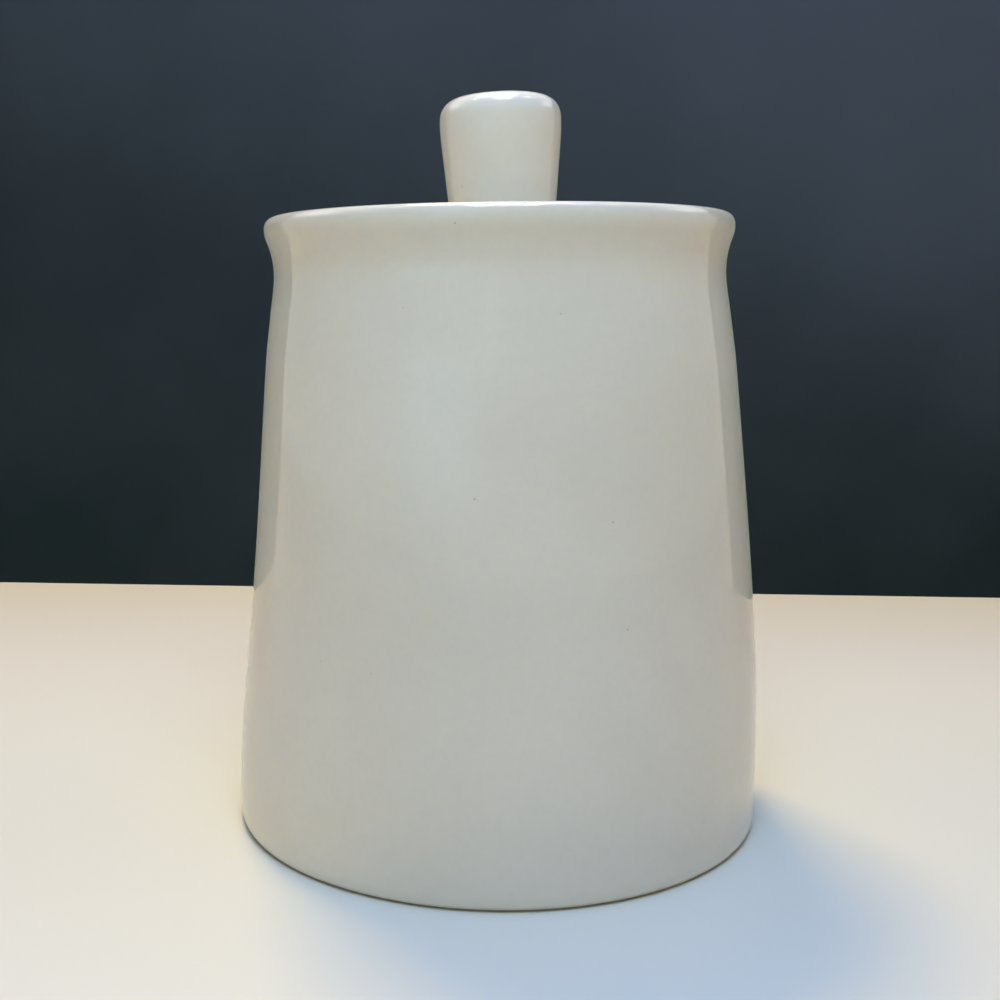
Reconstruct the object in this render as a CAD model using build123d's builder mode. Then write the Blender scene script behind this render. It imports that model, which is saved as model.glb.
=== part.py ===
"""Ceramic kitchen canister: a tapered jar with a rolled lip, and a lid that drops in behind the lip.

Millimetres, +Z up. The origin is the centre of the foot ring, on the surface that the jar stands on.
Every profile is drawn as radius and height and turned about the Z axis.
"""

import os
from math import atan, atan2, degrees, sin, tan

from build123d import *

# Jar, outside
jar_height = 172.3  # table to the crest of the lip
base_radius = 76.0  # widest part, just above the table
base_edge_round = 1.5
swell_corner = 25.2  # this far above the base edge, an upright from it would meet the straight flank
flank_radius = 66.7  # where the straight flank ends
flank_drop = 40.6  # that place, below the crest
neck_radius = 63.5
neck_drop = 15.5  # neck, below the crest
shoulder_spread = 0.9  # the wall leans in most where it is this much wider than the neck
shoulder_drop = 22.9
lip_overhang = 2.3  # the rolled lip stands out this far past the neck
lip_side = 2.0  # upright side of the lip, between its outer and underside rounds
lip_outer_round = 2.7
lip_underside_round = 4.6
lip_width = 6.8  # across the lip, the rest of which is its inner round

# Jar, foot
foot_height = 1.0
foot_radius = 71.5
foot_width = 5.5
foot_bevel = 0.4
underside_depth = 2.2  # underside above the table, inside the foot ring

# Jar, inside
wall = 6.0
floor = 6.1
floor_round = 10.0
gallery_depth = 11.8  # crest to the ledge that the lid sits on
ledge_width = 4.5
ledge_bevel = 0.7
throat_length = 13.5

# Lid
lid_clearance = 0.6  # flange to gallery wall
flange_thickness = 5.0
flange_bevel = 1.4
flange_seat_bevel = 0.6  # lower corner, kept small so that the flange sits flat on the ledge
lid_rise = 6.5  # flange top to the knob's seat
lid_wall = 5.5
seat_radius = 18.0  # flat under the knob
vent_radius = 8.0
collar_clearance = 3.0  # collar to throat, bridged by the seal
collar_wall = 6.0
collar_land = 2.0  # plain collar above and below the groove
collar_bevel = 0.8

# Seal
groove_depth = 2.2
groove_height = 8.0
fin_count = 3
fin_root_thickness = 1.3
fin_tip_thickness = 0.7
fin_rise = 0.9  # tip above root: the fins lean up as the lid goes in
fin_clearance = 0.3  # fin tips to throat

# Knob
knob_height = 34.0  # seat to top
knob_radius = 16.9
knob_stem_radius = 14.7
knob_swell_corner = 3.1  # as on the jar, measured down from the widest part
knob_shoulder_round = 6.0
knob_foot_bevel = 1.2
knob_wall = 7.0

# Heights and radii worked out from the table up
base_edge_z = foot_height + base_edge_round
flank_z = jar_height - flank_drop
shoulder_z = jar_height - shoulder_drop
shoulder_radius = neck_radius + shoulder_spread
neck_z = jar_height - neck_drop
lip_radius = neck_radius + lip_overhang
lip_top_z = jar_height - lip_outer_round
lip_z = lip_top_z - lip_side
crest_radius = lip_radius - lip_outer_round
gallery_radius = lip_radius - lip_width  # wall round the lid
lip_inner_round = crest_radius - gallery_radius
throat_radius = gallery_radius - ledge_width
ledge_z = jar_height - gallery_depth
floor_z = underside_depth + floor
throat_z = ledge_z - throat_length
flange_radius = gallery_radius - lid_clearance
flange_z = ledge_z + flange_thickness
seat_z = flange_z + lid_rise
collar_radius = throat_radius - collar_clearance
collar_depth = groove_height + 2 * collar_land
groove_radius = collar_radius - groove_depth
groove_top_z = ledge_z - collar_land
groove_bottom_z = groove_top_z - groove_height
knob_top_z = seat_z + knob_height
knob_widest_z = knob_top_z - knob_shoulder_round

os.makedirs("parts", exist_ok=True)


def bowed_side(start, end, corner):
    """Draw a side that starts upright at its widest point, bows in round the corner, then runs straight on.

    The corner is where an upright from the start meets the straight run, measured from the start.
    """
    way = 1 if end[1] > start[1] else -1
    lean = atan2(start[0] - end[0], abs(end[1] - start[1]) - corner)
    bow_radius = corner / tan(lean / 2)
    bow = JernArc(start=start, tangent=(0, way), radius=bow_radius, arc_size=way * degrees(lean))
    return Line(bow @ 1, end)


# Jar: the outside is drawn from the foot to the crest, the inside from the crest to the floor
with BuildPart() as jar_body:
    with BuildSketch(Plane.XZ) as jar_profile:
        with BuildLine() as jar_outline:
            foot_inner_radius = foot_radius - foot_width
            Polyline(
                (0, underside_depth),
                (foot_inner_radius, underside_depth),
                (foot_inner_radius, 0),
                (foot_radius, 0),
                (foot_radius, foot_height),
                (base_radius - base_edge_round, foot_height),
            )
            JernArc(
                start=(base_radius - base_edge_round, foot_height),
                tangent=(1, 0),
                radius=base_edge_round,
                arc_size=90,
            )
            flank = bowed_side((base_radius, base_edge_z), (flank_radius, flank_z), swell_corner)
            Spline(
                (flank_radius, flank_z),
                (shoulder_radius, shoulder_z),
                (neck_radius, neck_z),
                tangents=(flank % 1, (0, 1)),
            )

            # the neck sweeps out on one arc and meets the lip's underside, which rolls up into the lip's side
            sweep_angle = 2 * atan(lip_overhang / (lip_z - neck_z))
            neck_sweep_radius = (lip_z - neck_z) / sin(sweep_angle) - lip_underside_round
            neck_sweep = JernArc(
                start=(neck_radius, neck_z),
                tangent=(0, 1),
                radius=neck_sweep_radius,
                arc_size=-degrees(sweep_angle),
            )
            JernArc(
                start=neck_sweep @ 1,
                tangent=neck_sweep % 1,
                radius=lip_underside_round,
                arc_size=degrees(sweep_angle),
            )
            Line((lip_radius, lip_z), (lip_radius, lip_top_z))
            JernArc(start=(lip_radius, lip_top_z), tangent=(0, 1), radius=lip_outer_round, arc_size=90)
            JernArc(start=(crest_radius, jar_height), tangent=(-1, 0), radius=lip_inner_round, arc_size=90)

            # below the throat the inside opens out to the wall's own thickness
            inner_base_radius = base_radius - wall
            Polyline(
                (gallery_radius, jar_height - lip_inner_round),
                (gallery_radius, ledge_z),
                (throat_radius, ledge_z),
                (throat_radius, throat_z),
                (flank_radius - wall, flank_z),
                (inner_base_radius, floor_z + floor_round),
            )
            JernArc(
                start=(inner_base_radius - floor_round, floor_z), tangent=(1, 0), radius=floor_round, arc_size=90
            )
            Polyline((inner_base_radius - floor_round, floor_z), (0, floor_z), (0, underside_depth))
        make_face()
        chamfer(jar_profile.vertices().group_by(Axis.Y)[0], foot_bevel)
        chamfer(jar_profile.vertices().sort_by_distance((throat_radius, ledge_z))[0], ledge_bevel)
    revolve(axis=Axis.Z)
jar_body.part.label = "jar_body"

# Lid: a low cone with a flange on the ledge and a grooved collar in the throat
with BuildPart() as lid:
    with BuildSketch(Plane.XZ) as lid_profile:
        with BuildLine() as lid_outline:
            collar_inner_radius = collar_radius - collar_wall
            collar_bottom_z = ledge_z - collar_depth
            underside_z = seat_z - lid_wall
            Polyline(
                (vent_radius, seat_z),
                (seat_radius, seat_z),
                (flange_radius, flange_z),
                (flange_radius, ledge_z),
                (collar_radius, ledge_z),
                (collar_radius, groove_top_z),
                (groove_radius, groove_top_z),
                (groove_radius, groove_bottom_z),
                (collar_radius, groove_bottom_z),
                (collar_radius, collar_bottom_z),
                (collar_inner_radius, collar_bottom_z),
                (collar_inner_radius, ledge_z + flange_thickness / 2),
                (vent_radius, underside_z),
                close=True,
            )
        make_face()
        chamfer(lid_profile.vertices().sort_by_distance((flange_radius, flange_z))[0], flange_bevel)
        chamfer(lid_profile.vertices().sort_by_distance((flange_radius, ledge_z))[0], flange_seat_bevel)
        chamfer(lid_profile.vertices().group_by(Axis.Y)[0], collar_bevel)
    revolve(axis=Axis.Z)
lid.part.label = "lid"

# Knob: hollow, widest below its rounded shoulder, drawn in towards the lid's seat where it is stuck on
with BuildPart() as lid_knob:
    with BuildSketch(Plane.XZ) as knob_profile:
        with BuildLine() as knob_outline:
            cavity_radius = knob_radius - knob_wall
            bowed_side((knob_radius, knob_widest_z), (knob_stem_radius, seat_z), knob_swell_corner)
            Polyline(
                (knob_stem_radius, seat_z),
                (cavity_radius, seat_z),
                (cavity_radius, knob_top_z - knob_wall),
                (0, knob_top_z - knob_wall),
                (0, knob_top_z),
                (knob_radius - knob_shoulder_round, knob_top_z),
            )
            JernArc(start=(knob_radius, knob_widest_z), tangent=(0, 1), radius=knob_shoulder_round, arc_size=90)
        make_face()
        chamfer(knob_profile.vertices().sort_by_distance((knob_stem_radius, seat_z))[0], knob_foot_bevel)
    revolve(axis=Axis.Z)
lid_knob.part.label = "lid_knob"

# Seal: a flat band that fills the groove, with thin fins that lean up and out
with BuildPart() as seal_ring:
    with BuildSketch(Plane.XZ) as seal_profile:
        with BuildLine() as band_outline:
            Polyline(
                (groove_radius, groove_bottom_z),
                (collar_radius, groove_bottom_z),
                (collar_radius, groove_top_z),
                (groove_radius, groove_top_z),
                close=True,
            )
        make_face()
        fin_pitch = (groove_height - fin_root_thickness) / (fin_count - 1)
        for fin in range(fin_count):
            root_z = groove_bottom_z + fin * fin_pitch
            tip_z = root_z + fin_rise
            with BuildLine() as fin_outline:
                Polyline(
                    (groove_radius, root_z),
                    (collar_radius, root_z),
                    (throat_radius - fin_clearance, tip_z),
                    (throat_radius - fin_clearance, tip_z + fin_tip_thickness),
                    (collar_radius, root_z + fin_root_thickness),
                    (groove_radius, root_z + fin_root_thickness),
                    close=True,
                )
            make_face()
    revolve(axis=Axis.Z)
seal_ring.part.label = "seal_ring"

for piece in (jar_body, lid, lid_knob, seal_ring):
    export_step(piece.part, f"parts/{piece.part.label}.step")
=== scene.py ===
"""A glazed ceramic canister on a pale table: the look of the jar, its seal, its lid and the lid's knob."""

from math import atan, atan2, copysign, cos, degrees, pi, radians, sin, tan

import bmesh
import bpy
from mathutils import Matrix, Vector, noise


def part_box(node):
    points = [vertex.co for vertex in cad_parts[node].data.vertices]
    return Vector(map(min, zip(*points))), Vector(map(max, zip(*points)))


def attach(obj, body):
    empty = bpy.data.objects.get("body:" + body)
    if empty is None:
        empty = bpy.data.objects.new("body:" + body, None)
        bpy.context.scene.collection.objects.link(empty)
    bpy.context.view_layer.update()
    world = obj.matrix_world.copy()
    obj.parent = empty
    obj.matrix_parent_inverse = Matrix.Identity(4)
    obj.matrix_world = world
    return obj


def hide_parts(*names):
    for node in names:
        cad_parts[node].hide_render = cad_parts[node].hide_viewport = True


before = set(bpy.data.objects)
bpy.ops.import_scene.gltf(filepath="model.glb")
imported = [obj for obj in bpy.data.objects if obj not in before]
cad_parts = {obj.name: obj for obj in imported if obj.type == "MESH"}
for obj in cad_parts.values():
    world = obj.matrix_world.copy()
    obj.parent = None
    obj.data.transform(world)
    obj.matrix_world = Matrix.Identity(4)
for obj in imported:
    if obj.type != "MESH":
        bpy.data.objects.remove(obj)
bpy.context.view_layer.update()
mm = 0.001


# Jar
# The jar is one casting of pale stoneware with a cream glaze inside and out. Its wall leans in to a drawn-in
# neck and a lip that is rolled outwards, and a ledge inside the lip carries the lid. The foot ring was wiped
# bare before the firing, so the clay shows there, and the rim warped a little as the jar dried.
jar_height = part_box("jar_body")[1].z
base_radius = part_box("jar_body")[1].x
base_edge = (1.2 * mm, 4.0 * mm)  # how far in and how high up the bottom edge is rounded
swell_corner = 22.8 * mm  # this far above the base edge, an upright from it would meet the straight flank
flank_end = (66.7 * mm, jar_height - 40.8 * mm)
shoulder = (65.0 * mm, jar_height - 27.3 * mm)
neck = (63.55 * mm, jar_height - 15.2 * mm)
lip_radius = 65.85 * mm
lip_drop = 3.4 * mm  # crest to the lip's widest place
lip_squareness = 2.3  # 2 would be an ellipse
lip_inner_drop = 3.6 * mm
lip_underside_round = 8.0 * mm
crest_radius = 62.7 * mm

gallery_radius = 59.0 * mm  # wall round the lid's flange
ledge_z = jar_height - 11.8 * mm
ledge_inner_round = 1.2 * mm  # between gallery wall and ledge
ledge_edge_round = 0.9 * mm
throat_radius = 54.5 * mm
throat_end = (throat_radius, ledge_z - 13.5 * mm)
wall = 6.0 * mm
floor_z = 8.3 * mm
floor_round = 10.0 * mm

foot_height = 0.6 * mm
foot_inner_radius = 66.0 * mm
foot_outer_radius = 71.5 * mm
foot_inner_round = 0.5 * mm
foot_outer_round = 0.3 * mm
foot_root_round = 0.25 * mm  # between foot ring and base
underside_z = 2.2 * mm
underside_round = 1.0 * mm

rim_tilt = 0.0274  # the lip rises this much to the right, for each millimetre across
tilt_start = 76.3 * mm  # height where the tilt begins
tilt_full = 170.4 * mm
front_dip = 0.45 * mm  # the lip is this much lower in front
foot_lean = -0.12 * mm  # this and the next two are shifts to the right, at the foot, at the top and between
top_lean = -1.45 * mm
belly_lean = 1.8 * mm
waist_lean = 0.37 * mm  # added in the lower half, taken off in the upper
base_shift = 0.85 * mm  # added at the table, and fading out upwards
base_shift_height = 30 * mm
undulation = 0.10 * mm
undulation_scale = 22.0
undulation_full = 10 * mm  # height that it grows up to, so that the foot stays level
glaze_coat = 0.14 * mm
ring_steps = 288


def arc(centre, radii, start, end, steps, squareness=2.0):
    """Points on an ellipse in the radius and height plane, by angles in degrees from outwards to up."""
    points = []
    for i in range(steps + 1):
        a = radians(start + (end - start) * i / steps)
        out, up = (copysign(abs(f) ** (2 / squareness), f) for f in (cos(a), sin(a)))
        points.append((centre[0] + radii[0] * out, centre[1] + radii[1] * up))
    return points


def round_arc(centre, radius, start, end, steps):
    return arc(centre, (radius, radius), start, end, steps)


def corner_round(corner, radius, start, end, steps):
    """A quarter round in place of a corner between a level side and an upright one."""
    middle = radians((start + end) / 2)
    centre = (corner[0] - copysign(radius, cos(middle)), corner[1] - copysign(radius, sin(middle)))
    return round_arc(centre, radius, start, end, steps)


def bowed_side(start, end, corner, steps=24):
    """A side that starts upright at its widest point, bows in round the corner, then runs straight on."""
    way = 1 if end[1] > start[1] else -1
    lean = atan2(start[0] - end[0], abs(end[1] - start[1]) - corner)
    bow = corner / tan(lean / 2)
    turned = [lean * i / steps for i in range(steps + 1)]
    side = [(start[0] - bow * (1 - cos(a)), start[1] + way * bow * sin(a)) for a in turned]
    return side + [end]


def smooth_run(points, first_way, last_way, steps=12):
    """A curve through the points, with the given directions at its two ends."""
    ways = [first_way]
    ways += [(b[0] - a[0], b[1] - a[1]) for a, b in zip(points[:-2], points[2:])]
    ways += [last_way]
    run = [points[0]]
    for (p, q), (u, v) in zip(zip(points, points[1:]), zip(ways, ways[1:])):
        span = Vector((q[0] - p[0], q[1] - p[1])).length
        u, v = Vector(u).normalized() * span, Vector(v).normalized() * span
        for i in range(1, steps + 1):
            t = i / steps
            a, b = 2 * t**3 - 3 * t**2 + 1, -2 * t**3 + 3 * t**2
            c, d = t**3 - 2 * t**2 + t, t**3 - t**2
            run.append((a * p[0] + b * q[0] + c * u.x + d * v.x, a * p[1] + b * q[1] + c * u.y + d * v.y))
    return run


def without_gaps(outline, gap=2.5 * mm, same_place=1e-7):
    """The same outline with more points on its long runs, and none twice."""
    full = [outline[0]]
    for point in outline[1:]:
        last = Vector(full[-1])
        step = Vector(point) - last
        if step.length < same_place:
            continue
        pieces = max(1, round(step.length / gap))
        full += [tuple(last + step * i / pieces) for i in range(1, pieces + 1)]
    return full


def glaze_pull(outline, reach=0.9 * mm, sharp=radians(70)):
    """How far molten glaze draws off each point: 1 on a sharp edge, 0 on a flat, -1 in a sharp hollow."""
    turns = [0.0]
    for a, b, c in zip(outline, outline[1:], outline[2:]):
        before, after = Vector(b) - Vector(a), Vector(c) - Vector(b)
        turns.append(-before.angle_signed(after))
    turns.append(0.0)
    pull = []
    for here in outline:
        near = [(Vector(there) - Vector(here)).length for there in outline]
        turned = sum(t for t, d in zip(turns, near) if d < reach)
        pull.append(max(-1.0, min(1.0, turned / sharp)))
    return pull


def as_fired(place):
    """Where a point of the drawn shape ends up on the fired piece, which leans, warps and undulates a bit."""
    x, y, z = place
    up = z / jar_height
    lean = foot_lean + (top_lean - foot_lean) * up + belly_lean * sin(pi * up) + waist_lean * sin(2 * pi * up)
    lean += base_shift * max(0.0, 1 - z / base_shift_height) ** 2
    upper = max(0.0, (z - tilt_start) / (tilt_full - tilt_start))
    lift = (rim_tilt * x - front_dip * max(0.0, -y / lip_radius) ** 2) * upper
    swell = undulation * noise.noise(Vector(place) * undulation_scale) * min(1.0, z / undulation_full)
    out = Vector((x, y, 0)).normalized() * (swell + glaze_coat)
    return Vector((x + lean + out.x, y + out.y, z + lift))


def thrown(name, outline, closed=False, on_axis=1e-6):
    """A ring-shaped or solid piece of ware, turned from its outline of radii and heights."""
    shape = bmesh.new()
    layer = shape.verts.layers.float.new("glaze_pull")
    rings = []
    for (radius, height), drawn_off in zip(outline, glaze_pull(outline)):
        count = ring_steps if radius > on_axis else 1
        ring = []
        for i in range(count):
            turn = 2 * pi * i / count
            vert = shape.verts.new(as_fired((radius * cos(turn), radius * sin(turn), height)))
            vert[layer] = drawn_off
            ring.append(vert)
        rings.append(ring)
    if closed:
        rings.append(rings[0])
    for inner, outer in zip(rings, rings[1:]):
        for i in range(ring_steps):
            j = (i + 1) % ring_steps
            corners = [
                inner[i % len(inner)], inner[j % len(inner)], outer[j % len(outer)], outer[i % len(outer)]
            ]
            shape.faces.new(list(dict.fromkeys(corners)))
    bmesh.ops.recalc_face_normals(shape, faces=shape.faces)
    mesh = bpy.data.meshes.new(name)
    shape.to_mesh(mesh)
    shape.free()
    mesh.shade_smooth()
    piece = bpy.data.objects.new(name, mesh)
    bpy.context.scene.collection.objects.link(piece)
    return piece


# the outline runs outwards under the foot, up the outside, over the lip and down the inside to the floor
jar_outline = [(0, underside_z)]
jar_outline += corner_round((foot_inner_radius, underside_z), underside_round, 90, 0, steps=6)
jar_outline += corner_round((foot_inner_radius, 0), foot_inner_round, 180, 270, steps=5)
jar_outline += corner_round((foot_outer_radius, 0), foot_outer_round, 270, 360, steps=5)
jar_outline += corner_round((foot_outer_radius, foot_height), foot_root_round, 180, 90, steps=4)

base_edge_z = foot_height + base_edge[1]
jar_outline += arc((base_radius - base_edge[0], base_edge_z), base_edge, 270, 360, steps=14)
flank = bowed_side((base_radius, base_edge_z), flank_end, swell_corner)
flank_way = (flank[-1][0] - flank[-2][0], flank[-1][1] - flank[-2][1])
jar_outline += flank
jar_outline += smooth_run([flank_end, shoulder, neck], flank_way, (0, 1))

# the neck sweeps out on one arc and meets the lip's underside, which rolls up into the lip's side
lip_z = jar_height - lip_drop
sweep = 2 * atan((lip_radius - neck[0]) / (lip_z - neck[1]))
sweep_radius = (lip_z - neck[1]) / sin(sweep) - lip_underside_round
underside_centre = (lip_radius - lip_underside_round, lip_z)
lip_inner_centre = (crest_radius, jar_height - lip_inner_drop)
jar_outline += round_arc((neck[0] + sweep_radius, neck[1]), sweep_radius, 180, 180 - degrees(sweep), steps=10)
jar_outline += round_arc(underside_centre, lip_underside_round, -degrees(sweep), 0, steps=8)
jar_outline += arc((crest_radius, lip_z), (lip_radius - crest_radius, lip_drop), 0, 90, 24, lip_squareness)
jar_outline += arc(lip_inner_centre, (crest_radius - gallery_radius, lip_inner_drop), 90, 180, steps=14)

jar_outline += corner_round((gallery_radius, ledge_z), ledge_inner_round, 0, -90, steps=8)
jar_outline += corner_round((throat_radius, ledge_z), ledge_edge_round, 90, 180, steps=8)
jar_outline += [throat_end]
inner_flank_end = (flank_end[0] - wall, flank_end[1])
inner_base = (base_radius - wall, floor_z + floor_round)
inner_way = (inner_base[0] - inner_flank_end[0], inner_base[1] - inner_flank_end[1])
jar_outline += smooth_run([throat_end, inner_flank_end], (0, -1), inner_way, steps=16)
jar_outline += [inner_base]
jar_outline += corner_round((inner_base[0], floor_z), floor_round, 0, -90, steps=16)
jar_outline += [(0, floor_z)]

jar = thrown("jar_ware", without_gaps(jar_outline))


class Wires:
    """Adds nodes to a tree and links them, with inputs given by name, or by number as i0, i1 and so on."""

    def __init__(self, tree):
        self.tree = tree

    def link(self, output, entry):
        self.tree.links.new(output, entry)

    def node(self, kind, _out=0, _set=None, **values):
        made = self.tree.nodes.new(kind)
        for key, value in (_set or {}).items():
            setattr(made, key, value)
        for key, value in values.items():
            wanted = int(key[1:]) if key[0] == "i" and key[1:].isdigit() else key.replace("_", " ")
            entry = made.inputs[wanted]
            if isinstance(value, bpy.types.NodeSocket):
                self.link(value, entry)
            else:
                entry.default_value = value
        return made.outputs[_out]

    def place(self):
        """The point's place on its own piece, in metres."""
        return self.node("ShaderNodeTexCoord", "Object")

    def noise(self, place, **values):
        return self.node("ShaderNodeTexNoise", Vector=place, **values)

    def parts(self, vector):
        made = self.tree.nodes.new("ShaderNodeSeparateXYZ")
        self.link(vector, made.inputs[0])
        return made.outputs

    def maths(self, what, a, b=0.0, clamp=False):
        return self.node("ShaderNodeMath", _set={"operation": what, "use_clamp": clamp}, i0=a, i1=b)

    def ramp(self, value, low, high, to_low=0.0, to_high=1.0):
        """The value's place from low to high, with soft ends, as a number from to_low to to_high."""
        return self.node(
            "ShaderNodeMapRange", _set={"interpolation_type": "SMOOTHSTEP"},
            i0=value, i1=low, i2=high, i3=to_low, i4=to_high,
        )

    def blend(self, factor, a, b):
        return self.node("ShaderNodeMix", 2, _set={"data_type": "RGBA"}, i0=factor, i6=a, i7=b)


def new_group(name, inputs, outputs):
    """A node group with named inputs and outputs, and the wires and the two sets of sockets to fill it."""
    tree = bpy.data.node_groups.new(name, "ShaderNodeTree")
    for label, kind, value in inputs:
        made = tree.interface.new_socket(label, in_out="INPUT", socket_type=f"NodeSocket{kind}")
        made.default_value = value
    for label, kind in outputs:
        tree.interface.new_socket(label, in_out="OUTPUT", socket_type=f"NodeSocket{kind}")
    start, end = tree.nodes.new("NodeGroupInput"), tree.nodes.new("NodeGroupOutput")
    return tree, Wires(tree), start.outputs, end.inputs


def new_material(name):
    """A material, its wires and its shader."""
    material = bpy.data.materials.new(name)
    material.use_nodes = True
    return material, Wires(material.node_tree), material.node_tree.nodes["Principled BSDF"]


def glaze_group():
    """Fired glaze: cloudy in colour, warmer where it is thin, greyer where it pools, with a few pinholes."""
    cloud_lightens = 1.06
    cloud_darkens = (0.93, 0.925, 0.90)
    mottle_colour = (0.45, 0.43, 0.38, 1)
    pinhole_colour = (0.22, 0.17, 0.12, 1)
    pinhole_spacing = 95.0  # across a metre
    pinhole_edge = (0.034, 0.012)  # outside and inside of a pinhole's rim, as shares of the spacing
    smooth, rough = 0.03, 0.05
    wave_height = 0.045
    peel_height = 0.0022
    pinhole_depth = 0.05

    tree, w, given, result = new_group(
        "fired_glaze",
        [
            ("Colour", "Color", (0.6, 0.58, 0.54, 1)),
            ("Thin Colour", "Color", (0.5, 0.42, 0.32, 1)),
            ("Pool Colour", "Color", (0.55, 0.57, 0.55, 1)),
            ("Pull", "Float", 0.0),
            ("Clouding", "Float", 0.05),
            ("Pinholes", "Float", 1.0),
            ("Ripple", "Float", 1.0),
        ],
        [("Colour", "Color"), ("Roughness", "Float"), ("Normal", "Vector")],
    )
    place = w.place()
    cloud = w.noise(place, Scale=16.0, Detail=3.0, Roughness=0.55)
    mottle = w.noise(place, Scale=420.0, Detail=2.0, Roughness=0.6)
    uneven = w.maths("SUBTRACT", w.noise(place, Scale=60.0, Detail=2.0), 0.5)
    thin = w.ramp(w.maths("ADD", given["Pull"], w.maths("MULTIPLY", uneven, 0.5)), 0.2, 1.1)
    pool = w.ramp(given["Pull"], -0.15, -1.0)

    lighter = w.node(
        "ShaderNodeVectorMath", _set={"operation": "SCALE"}, i0=given["Colour"], Scale=cloud_lightens
    )
    darker = w.node(
        "ShaderNodeVectorMath", _set={"operation": "MULTIPLY"}, i0=given["Colour"], i1=cloud_darkens
    )
    base = w.blend(given["Clouding"], given["Colour"], w.blend(w.ramp(cloud, 0.3, 0.7), darker, lighter))
    base = w.blend(w.maths("MULTIPLY", w.ramp(mottle, 0.35, 0.75), 0.05), base, mottle_colour)
    base = w.blend(w.maths("MULTIPLY", pool, 0.6), base, given["Pool Colour"])
    base = w.blend(w.maths("MULTIPLY", thin, 0.55), base, given["Thin Colour"])
    spot = w.node("ShaderNodeTexVoronoi", "Distance", Vector=place, Scale=pinhole_spacing)
    hole = w.maths("MULTIPLY", w.ramp(spot, *pinhole_edge), given["Pinholes"], clamp=True)
    w.link(w.blend(w.maths("MULTIPLY", hole, 0.5), base, pinhole_colour), result["Colour"])

    dulled = w.maths("ADD", w.ramp(cloud, 0.3, 0.75, smooth, rough), w.maths("MULTIPLY", thin, 0.10))
    w.link(w.maths("ADD", dulled, w.maths("MULTIPLY", hole, 0.4)), result["Roughness"])

    wave = w.maths("MULTIPLY", w.noise(place, Scale=34.0, Detail=1.0), wave_height)
    peel = w.maths("MULTIPLY", w.noise(place, Scale=330.0, Detail=1.0), peel_height)
    rippled = w.maths("MULTIPLY", w.maths("ADD", wave, peel), given["Ripple"])
    height = w.maths("SUBTRACT", rippled, w.maths("MULTIPLY", hole, pinhole_depth))
    w.link(w.node("ShaderNodeBump", Strength=1.0, Distance=1.0 * mm, Height=height), result["Normal"])
    return tree


def clay_group():
    """Bare fired clay: sandy, matt and a little darker in its grain."""
    grain_colour = (0.40, 0.31, 0.22, 1)
    stain_colour = (0.46, 0.44, 0.41, 1)
    matt, dull = 0.9, 0.72

    tree, w, given, result = new_group(
        "bare_clay",
        [("Colour", "Color", (0.55, 0.45, 0.34, 1)), ("Grain", "Float", 1.0)],
        [("Colour", "Color"), ("Roughness", "Float"), ("Normal", "Vector")],
    )
    place = w.place()
    sand = w.noise(place, Scale=1900.0, Detail=3.0, Roughness=0.7)
    stain = w.noise(place, Scale=140.0, Detail=3.0)
    tone = w.blend(w.ramp(sand, 0.3, 0.7), grain_colour, given["Colour"])
    tone = w.blend(w.maths("MULTIPLY", w.ramp(stain, 0.5, 0.75), 0.35), tone, stain_colour)
    w.link(tone, result["Colour"])
    w.link(w.ramp(stain, 0.3, 0.7, dull, matt), result["Roughness"])
    height = w.maths("MULTIPLY", sand, given["Grain"])
    w.link(w.node("ShaderNodeBump", Strength=0.7, Distance=0.12 * mm, Height=height), result["Normal"])
    return tree


fired_glaze = glaze_group()
bare_clay = clay_group()


def glazed_material(name, colour, bare=None, **settings):
    """A glaze on stoneware. bare, if given, adds the nodes for a mask that is 1 where the clay shows."""
    material, w, shader = new_material(name)
    shader.inputs["IOR"].default_value = 1.5
    shader.inputs["Specular IOR Level"].default_value = 0.5
    glaze = w.tree.nodes.new("ShaderNodeGroup")
    glaze.node_tree = fired_glaze
    glaze.inputs["Colour"].default_value = colour
    for key, value in settings.items():
        glaze.inputs[key.replace("_", " ")].default_value = value
    w.link(w.node("ShaderNodeAttribute", "Fac", _set={"attribute_name": "glaze_pull"}), glaze.inputs["Pull"])
    colour_out, rough_out, normal_out = glaze.outputs
    if bare:
        clay = w.tree.nodes.new("ShaderNodeGroup")
        clay.node_tree = bare_clay
        mask = bare(w)
        colour_out = w.blend(mask, colour_out, clay.outputs["Colour"])
        rough_out = w.ramp(mask, 0.0, 1.0, rough_out, clay.outputs["Roughness"])
        normal_out = w.node(
            "ShaderNodeMix", 1, _set={"data_type": "VECTOR"},
            i0=mask, i4=normal_out, i5=clay.outputs["Normal"],
        )
    w.link(colour_out, shader.inputs["Base Color"])
    w.link(rough_out, shader.inputs["Roughness"])
    w.link(normal_out, shader.inputs["Normal"])
    return material


def radius_and_height(w, waver=0.9 * mm):
    """The shader's own radius and height on the ware, with the wiped line's waver on the radius."""
    place = w.place()
    x, y, z = w.parts(place)
    across = w.maths("SQRT", w.maths("ADD", w.maths("POWER", x, 2.0), w.maths("POWER", y, 2.0)))
    uneven = w.maths("SUBTRACT", w.noise(place, Scale=120.0, Detail=2.0), 0.5)
    return w.maths("ADD", across, w.maths("MULTIPLY", uneven, waver)), z


def foot_ring_mask(w):
    """The clay shows up to the first distance past the foot ring, and the glaze is whole from the second."""
    bare_beside, glazed_beside = 0.5 * mm, 0.9 * mm
    bare_above, glazed_above = 0.1 * mm, 0.6 * mm
    radius, height = radius_and_height(w)
    inside = w.ramp(radius, foot_inner_radius - glazed_beside, foot_inner_radius - bare_beside)
    outside = w.ramp(radius, foot_outer_radius + glazed_beside, foot_outer_radius + bare_beside)
    low = w.ramp(height, foot_height + glazed_above, foot_height + bare_above)
    return w.maths("MULTIPLY", w.maths("MULTIPLY", inside, outside), low)


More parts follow.
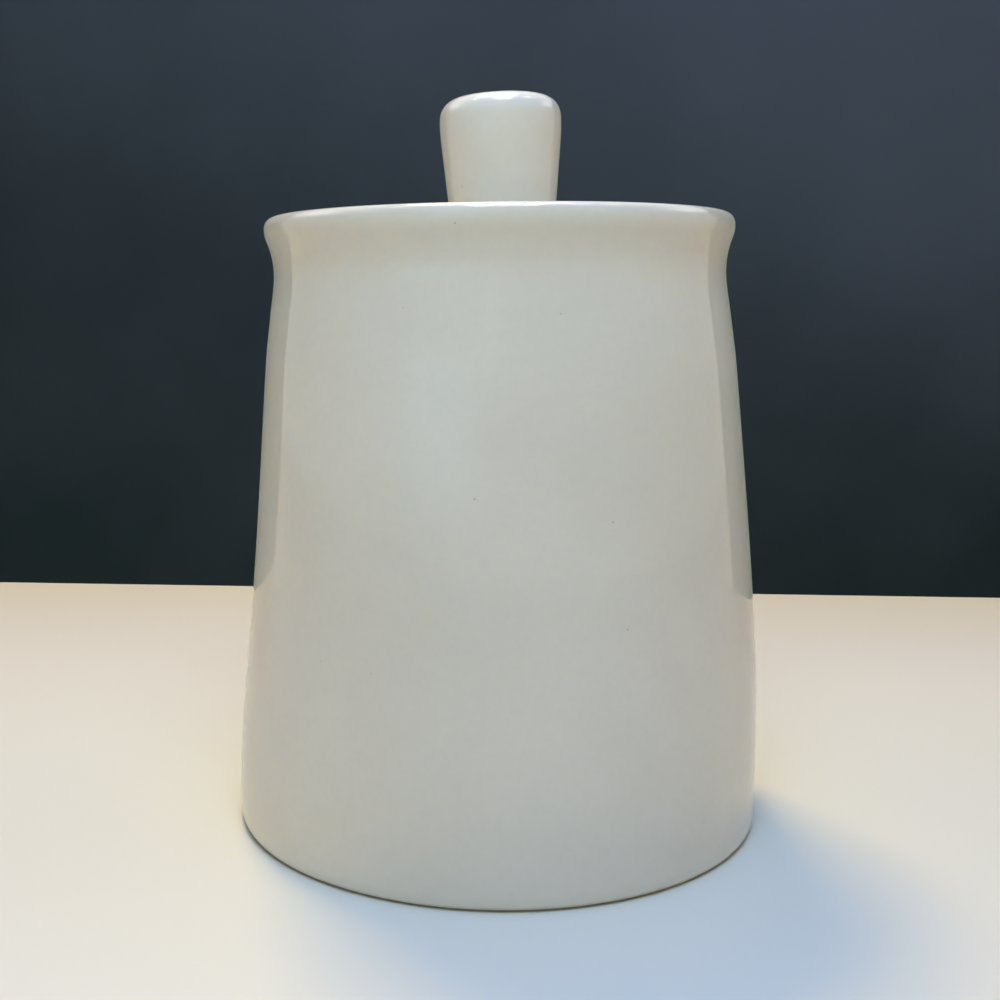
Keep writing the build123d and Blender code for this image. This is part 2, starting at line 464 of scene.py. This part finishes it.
cream = (0.76, 0.745, 0.665, 1)
jar.data.materials.append(glazed_material("jar_glaze", cream, foot_ring_mask, Clouding=0.5))
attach(jar, "jar")
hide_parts("jar_body")


# Seal
# The seal is a moulded ring of milky silicone, stretched into the groove round the lid's collar. Three thin
# fins on it lean up and brush the throat as the lid goes in.
groove_radius = 49.3 * mm
collar_radius = 51.5 * mm
groove_top_z = ledge_z - 2.0 * mm
groove_height = 8.0 * mm
groove_bottom_z = groove_top_z - groove_height
fin_count = 3
fin_reach = 54.2 * mm
fin_root = 1.3 * mm
fin_tip = 0.7 * mm
fin_rise = 0.9 * mm  # tip above root
fin_tip_angles = (-80, 95)  # where the tip's round leaves the fin's underside and its top
fin_pitch = (groove_height - fin_root) / (fin_count - 1)

seal_outline = [(groove_radius, groove_top_z), (groove_radius, groove_bottom_z)]
for fin in range(fin_count):
    root_z = groove_bottom_z + fin * fin_pitch
    tip = (fin_reach - fin_tip / 2, root_z + fin_rise + fin_tip / 2)
    seal_outline += [(collar_radius, root_z)]
    seal_outline += round_arc(tip, fin_tip / 2, *fin_tip_angles, steps=7)
    seal_outline += [(collar_radius, root_z + fin_root)]
seal_outline += [(collar_radius, groove_top_z)]
seal = thrown("seal_silicone_ring", without_gaps(seal_outline, gap=1.2 * mm), closed=True)


def silicone_material():
    clear_tone, milky_tone = (0.66, 0.68, 0.68, 1), (0.74, 0.75, 0.74, 1)
    dust_colour = (0.86, 0.85, 0.82, 1)
    smooth, rough = 0.38, 0.52

    material, w, shader = new_material("seal_silicone")
    place = w.place()
    haze = w.noise(place, Scale=90.0, Detail=3.0)
    dust = w.noise(place, Scale=2600.0, Detail=1.0)
    tone = w.blend(w.ramp(haze, 0.3, 0.7), clear_tone, milky_tone)
    tone = w.blend(w.maths("MULTIPLY", w.ramp(dust, 0.66, 0.78), 0.35), tone, dust_colour)
    w.link(tone, shader.inputs["Base Color"])
    w.link(w.ramp(haze, 0.3, 0.7, smooth, rough), shader.inputs["Roughness"])
    w.link(w.node("ShaderNodeBump", Strength=0.25, Distance=0.05 * mm, Height=dust), shader.inputs["Normal"])
    shader.inputs["IOR"].default_value = 1.41
    shader.inputs["Subsurface Weight"].default_value = 0.25
    shader.inputs["Subsurface Radius"].default_value = (1.0, 1.0, 1.0)
    shader.inputs["Subsurface Scale"].default_value = 1.2 * mm
    return material


seal.data.materials.append(silicone_material())
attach(seal, "lid")
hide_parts("seal_ring")


# Lid
# The lid is a second casting: a low dome with a flange that sits on the jar's ledge, and below it a collar
# with a groove for the seal. It was fired standing on the flange, whose underside is bare clay. A hole under
# the knob let the steam out.
flange_radius = 58.4 * mm
flange_top_z = ledge_z + 5.0 * mm
flange_top_round = 1.5 * mm
flange_top_centre = (flange_radius - flange_top_round, flange_top_z - 1.6 * mm)
flange_seat_round = 0.6 * mm
seat_z = flange_top_z + 6.5 * mm
seat_radius = 18.0 * mm  # flat under the knob
dome_end = (flange_radius - 1.6 * mm, flange_top_z - 0.1 * mm)
dome_end_way = (1, -0.25)
dome_end_angle = 76  # where the flange's top round takes over from the dome, in degrees above outwards
vent_radius = 8.0 * mm
vent_round = 0.8 * mm
underside_start = (vent_radius + 9.0 * mm, seat_z - 5.5 * mm)
underside_start_way = (-1, 0.02)
collar_inner_radius = collar_radius - 6.0 * mm
collar_bottom_z = ledge_z - 12.0 * mm
collar_round = 0.8 * mm
collar_top_round = 0.5 * mm  # between flange and collar
collar_inner_top_z = ledge_z + 0.5 * mm
groove_round = 0.3 * mm

# the outline starts in the vent and runs over the dome and flange, down the collar and back under the dome
lid_outline = corner_round((vent_radius, seat_z), vent_round, 180, 90, steps=6)
lid_outline += smooth_run([(seat_radius, seat_z), dome_end], (1, 0), dome_end_way, steps=20)
lid_outline += round_arc(flange_top_centre, flange_top_round, dome_end_angle, 0, steps=8)
lid_outline += corner_round((flange_radius, ledge_z), flange_seat_round, 0, -90, steps=6)
lid_outline += corner_round((collar_radius, ledge_z), collar_top_round, 90, 180, steps=5)
lid_outline += corner_round((collar_radius, groove_top_z), groove_round, 0, -90, steps=4)
lid_outline += [(groove_radius, groove_top_z), (groove_radius, groove_bottom_z)]
lid_outline += corner_round((collar_radius, groove_bottom_z), groove_round, 90, 0, steps=4)
lid_outline += corner_round((collar_radius, collar_bottom_z), collar_round, 0, -90, steps=6)
lid_outline += corner_round((collar_inner_radius, collar_bottom_z), collar_round, -90, -180, steps=6)
lid_outline += smooth_run(
    [(collar_inner_radius, collar_inner_top_z), underside_start], (0, 1), underside_start_way, steps=20
)
lid_outline += corner_round((vent_radius, underside_start[1]), vent_round, 270, 180, steps=6)
lid = thrown("lid_ware", without_gaps(lid_outline), closed=True)


def flange_seat_mask(w):
    """Outside the collar the flange is bare below, and up to a little way up its side."""
    glazed_beside, bare_beside = 1.2 * mm, 1.7 * mm
    bare_above, glazed_above = 2.4 * mm, 3.0 * mm
    radius, height = radius_and_height(w)
    outside = w.ramp(radius, collar_radius + glazed_beside, collar_radius + bare_beside)
    low = w.ramp(height, ledge_z + glazed_above, ledge_z + bare_above)
    return w.maths("MULTIPLY", outside, low)


lid.data.materials.append(glazed_material("lid_glaze", cream, flange_seat_mask, Clouding=0.5))
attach(lid, "lid")
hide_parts("lid")


# Knob
# The knob is hollow and was cast by itself. It widens upwards to a rounded shoulder and is stuck to the lid's
# flat seat with slip, which the glaze covered with a small bead.
knob_top_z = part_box("lid_knob")[1].z
knob_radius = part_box("lid_knob")[1].x
knob_shoulder = (8.3 * mm, 7.0 * mm)  # how far in and how far down it is rounded
knob_shoulder_end = 87  # degrees above outwards, just short of level, where the crown goes on
knob_squareness = 2.5
knob_crown = 0.3 * mm  # middle of the top above the end of the shoulder
knob_top = [(6 * mm, knob_top_z - 0.13 * mm), (3 * mm, knob_top_z - 0.03 * mm), (0, knob_top_z)]
knob_stem_radius = 14.8 * mm
knob_corner = 3.1 * mm  # as on the jar, measured down from the widest part
knob_wall = 7.0 * mm
cavity_radius = knob_radius - knob_wall
cavity_round = 3.0 * mm
bead = 1.0 * mm
knob_offset = 0.98 * mm  # off the lid's middle, to the right
knob_tilt = radians(0.7)  # to the left, as stuck on
knob_top_slope = 0.012  # the top falls this much to the left, for each millimetre across

widest = (knob_radius, knob_top_z - knob_crown - knob_shoulder[1])
stem_end = (knob_stem_radius, seat_z + bead)
shoulder_centre = (knob_radius - knob_shoulder[0], widest[1])
knob_outline = [(0, knob_top_z - knob_wall)]
knob_outline += corner_round((cavity_radius, knob_top_z - knob_wall), cavity_round, 90, 0, steps=8)
knob_outline += [(cavity_radius, seat_z), (knob_stem_radius + bead, seat_z)]
knob_outline += corner_round((knob_stem_radius, seat_z), bead, 270, 180, steps=6)
knob_outline += bowed_side(widest, stem_end, knob_corner, steps=16)[::-1]
knob_outline += arc(shoulder_centre, knob_shoulder, 0, knob_shoulder_end, 24, knob_squareness)
knob_outline += knob_top
knob = thrown("knob_ware", without_gaps(knob_outline, gap=1.5 * mm))
for vert in knob.data.vertices:
    vert.co.z += knob_top_slope * vert.co.x * (vert.co.z - seat_z) / (knob_top_z - seat_z)
seat = Vector((0, 0, seat_z))
knob.data.transform(
    Matrix.Translation(seat + Vector((knob_offset, 0, 0))) @ Matrix.Rotation(-knob_tilt, 4, "Y")
    @ Matrix.Translation(-seat)
)
knob.data.materials.append(glazed_material("knob_glaze", cream, Clouding=0.4))
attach(knob, "lid")
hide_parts("lid_knob")


# Table and backdrop
# A pale table top runs under the canister, and a dark sheet stands behind it. Both have painted light in
# their
# colour: the top is paler towards the sheet, and the sheet is paler upwards and to the right. The sheet casts
# no shadow, isn't there for an eye behind it, and shows in the glaze a little paler than it is.
table_half = 2.0
backdrop_y = 0.296
backdrop_half = 0.53
backdrop_height = 0.42


def flat_sheet(name, corners):
    mesh = bpy.data.meshes.new(name)
    mesh.from_pydata(corners, [], [(0, 1, 2, 3)])
    sheet = bpy.data.objects.new(name, mesh)
    bpy.context.scene.collection.objects.link(sheet)
    return sheet


table = flat_sheet("table", [
    (-table_half, -table_half, 0), (table_half, -table_half, 0),
    (table_half, table_half, 0), (-table_half, table_half, 0),
])
backdrop = flat_sheet("backdrop", [
    (-backdrop_half, backdrop_y, 0), (backdrop_half, backdrop_y, 0),
    (backdrop_half, backdrop_y, backdrop_height), (-backdrop_half, backdrop_y, backdrop_height),
])
backdrop.visible_shadow = False


def table_material():
    # Painted light: the top is painted paler and less warm from near_y to far_y, towards the sheet, as light
    # falls there.
    near_tones = (0.76, 0.81, 0.76, 1), (0.79, 0.84, 0.79, 1)
    far_tone_painted_light = (0.86, 0.92, 0.84, 1)
    near_y, far_y = -0.06, 0.14

    material, w, shader = new_material("table_top")
    place = w.place()
    cloud = w.noise(place, Scale=3.0, Detail=3.0)
    near_tone = w.blend(w.ramp(cloud, 0.3, 0.7), *near_tones)
    tone = w.blend(w.ramp(w.parts(place)[1], near_y, far_y), near_tone, far_tone_painted_light)
    w.link(tone, shader.inputs["Base Color"])
    shader.inputs["Roughness"].default_value = 0.5
    return material


def backdrop_material():
    # Painted light: the sheet is painted darker near the table and paler upwards and to the right, where more
    # light falls on it.
    shaded_low_tone, lit_high_tone = (0.014, 0.026, 0.029, 1), (0.080, 0.104, 0.138, 1)
    lit_paler_to_right = 0.36  # of the distance across, which counts as height, but less so near the table
    mirrored_tone = (0.14, 0.17, 0.135, 1)
    mirrored_to, mirrored_from = 0.28, 0.36  # heights that this lightening is full at and gone at

    material, w, shader = new_material("backdrop_paper")
    place = w.place()
    across, _, height = w.parts(place)
    cloud = w.noise(place, Scale=9.0, Detail=4.0)
    worn = w.maths("MULTIPLY", w.maths("SUBTRACT", cloud, 0.5), 0.5)
    sideways = w.maths("MULTIPLY", w.maths("MULTIPLY", across, lit_paler_to_right), w.ramp(height, 0.0, 0.25))
    painted_light_share = w.ramp(w.maths("ADD", sideways, height), -0.01, 0.41)
    w.link(w.blend(w.maths("ADD", painted_light_share, worn, clamp=True), shaded_low_tone, lit_high_tone), shader.inputs["Base Color"])
    shader.inputs["Specular IOR Level"].default_value = 0.1
    shader.inputs["Roughness"].default_value = 0.9
    shader.inputs["Emission Color"].default_value = mirrored_tone
    mirrored = w.node("ShaderNodeLightPath", "Is Glossy Ray")
    band = w.ramp(height, mirrored_from, mirrored_to)
    w.link(w.maths("MULTIPLY", mirrored, band), shader.inputs["Emission Strength"])
    clear = w.node("ShaderNodeBsdfTransparent")
    behind = w.node("ShaderNodeNewGeometry", "Backfacing")
    seen = w.node("ShaderNodeMixShader", i0=behind, i1=shader.outputs[0], i2=clear)
    w.link(seen, w.tree.nodes["Material Output"].inputs["Surface"])
    return material


table.data.materials.append(table_material())
backdrop.data.materials.append(backdrop_material())


# Light
# A warm lamp high behind on the left casts the shadow towards the eye. A cooler light above and in front, a
# greenish ceiling, a blue sky, windows behind the eye and a pale room fill it. Thin tubes, a skylight, side
# windows and a room that is paler overhead show only in the glaze, as the bright lines on lip and knob.
def softbox(name, place, size, radiance, colour=(1, 1, 1), aim=(0, 0, 0.1), soft_edge=0.0, mirrored=True):
    """An area lamp of an even radiance, or one that fades towards its edge over a share of its half width.

    One that isn't mirrored lights the glaze without showing in it.
    """
    lamp = bpy.data.lights.new(name, "AREA")
    lamp.shape = "RECTANGLE"
    lamp.size, lamp.size_y = size
    lamp.energy = radiance * pi * size[0] * size[1]
    lamp.color = colour
    if soft_edge:
        lamp.use_nodes = True
        w = Wires(lamp.node_tree)
        fade = 1.0
        for along in w.parts(w.node("ShaderNodeNewGeometry", "Parametric"))[:2]:
            from_middle = w.maths("MULTIPLY", w.maths("ABSOLUTE", w.maths("SUBTRACT", along, 0.5)), 2.0)
            fade = w.maths("MULTIPLY", w.ramp(from_middle, 1.0, 1.0 - soft_edge), fade)
        w.link(fade, lamp.node_tree.nodes["Emission"].inputs["Strength"])
    holder = bpy.data.objects.new(name, lamp)
    holder.location = place
    holder.rotation_euler = (Vector(aim) - Vector(place)).to_track_quat("-Z", "Y").to_euler()
    holder.visible_camera = False
    holder.visible_glossy = mirrored
    bpy.context.scene.collection.objects.link(holder)
    return holder


softbox("key_lamp", (-0.371, 0.797, 2.045), (0.48, 0.48), radiance=36.0, colour=(1.0, 0.63, 0.14))
softbox(
    "front_light", (0.0, -0.28, 0.50), (0.35, 0.35), radiance=7.7, colour=(0.60, 0.84, 1.0),
    soft_edge=0.8, mirrored=False,
)
softbox("sky_light", (0.0, 0.0, 1.92), (1.44, 1.44), radiance=2.1, colour=(0.0, 0.04, 1.0))
softbox(
    "window_light", (-0.16, -2.0, 0.62), (0.16, 0.55), radiance=0.6, colour=(0.95, 1.0, 1.0), soft_edge=0.5
)
softbox(
    "garden_window", (-0.97, -1.75, 0.30), (1.8, 0.6), radiance=0.82, colour=(0.18, 0.67, 1.0), soft_edge=0.7
)
softbox(
    "ceiling", (0.0, 0.48, 2.72), (2.56, 2.56), radiance=0.66, colour=(0.45, 1.0, 0.52),
    aim=(0, 0.48, 0), mirrored=False,
)

tube_height = jar_height + 1.5
tube_square = (0.64, 0.95)
tube_thickness = 0.03
tubes_y = 0.10  # middle of the square of tubes
tubes_aim = (0, 0, 0.17)
only_in_glaze = []
for side in (-1, 1):
    only_in_glaze += [
        softbox(
            f"tube_across_{side}", (0, tubes_y + side * tube_square[1] / 2, tube_height),
            (tube_square[0], tube_thickness), radiance=80.0, aim=tubes_aim,
        ),
        softbox(
            f"tube_along_{side}", (side * tube_square[0] / 2, tubes_y, tube_height),
            (tube_thickness, tube_square[1]), radiance=45.0, aim=tubes_aim,
        ),
        softbox(f"side_window_{side}", (side * 1.4, 0.5, 1.15), (1.2, 0.9), radiance=2.4, soft_edge=1.0),
    ]
only_in_glaze += [softbox("skylight", (0, -0.33, tube_height), (0.60, 1.05), radiance=3.0, aim=(0, -0.33, 0))]
for lamp in only_in_glaze:
    lamp.visible_diffuse = False

room_light = (0.255, 0.172, 0.10, 1)
mirrored_level, mirrored_overhead = (0.86, 0.86, 0.74, 1), (1.55, 1.6, 1.55, 1)
past_the_sheet = (0.036, 0.044, 0.052, 1)  # what the eye sees above and beside the backdrop

world = bpy.data.worlds.new("room")
world.use_nodes = True
bpy.context.scene.world = world
w = Wires(world.node_tree)
room = world.node_tree.nodes["Background"]
room.inputs["Color"].default_value = room_light
room.inputs["Strength"].default_value = 1.0
upwards = w.parts(w.node("ShaderNodeTexCoord", "Generated"))[2]
mirrored_tone = w.blend(w.ramp(upwards, 0.25, 0.55), mirrored_level, mirrored_overhead)
mirrored = w.node("ShaderNodeBackground", Color=mirrored_tone, Strength=1.0)
dark = w.node("ShaderNodeBackground", Color=past_the_sheet, Strength=1.0)
rays = w.tree.nodes.new("ShaderNodeLightPath").outputs
seen = w.maths("MAXIMUM", rays["Is Camera Ray"], rays["Is Transmission Ray"])
unseen = w.node("ShaderNodeMixShader", i0=rays["Is Glossy Ray"], i1=room.outputs[0], i2=mirrored)
w.link(
    w.node("ShaderNodeMixShader", i0=seen, i1=unseen, i2=dark),
    w.tree.nodes["World Output"].inputs["Surface"],
)


# Camera
# The eye is close, a little below the lip, and looks down on the jar's middle, as a hand-held phone would.
# The picture is rolled by nearly a degree.
eye = (0.0, -0.37384, 0.14610)
look_down = radians(8.309)
roll = radians(0.895)
focal_px = 1289.2  # for a picture 1000 pixels wide

camera = bpy.data.cameras.new("camera")
camera.sensor_width = 36.0
camera.lens = focal_px / 1000 * camera.sensor_width
camera.clip_start = 0.01
viewer = bpy.data.objects.new("camera", camera)
viewer.matrix_world = (
    Matrix.Translation(eye) @ Matrix.Rotation(pi / 2 - look_down, 4, "X") @ Matrix.Rotation(roll, 4, "Z")
)
bpy.context.scene.collection.objects.link(viewer)
bpy.context.scene.camera = viewer
bpy.context.scene.view_settings.view_transform = "Standard"
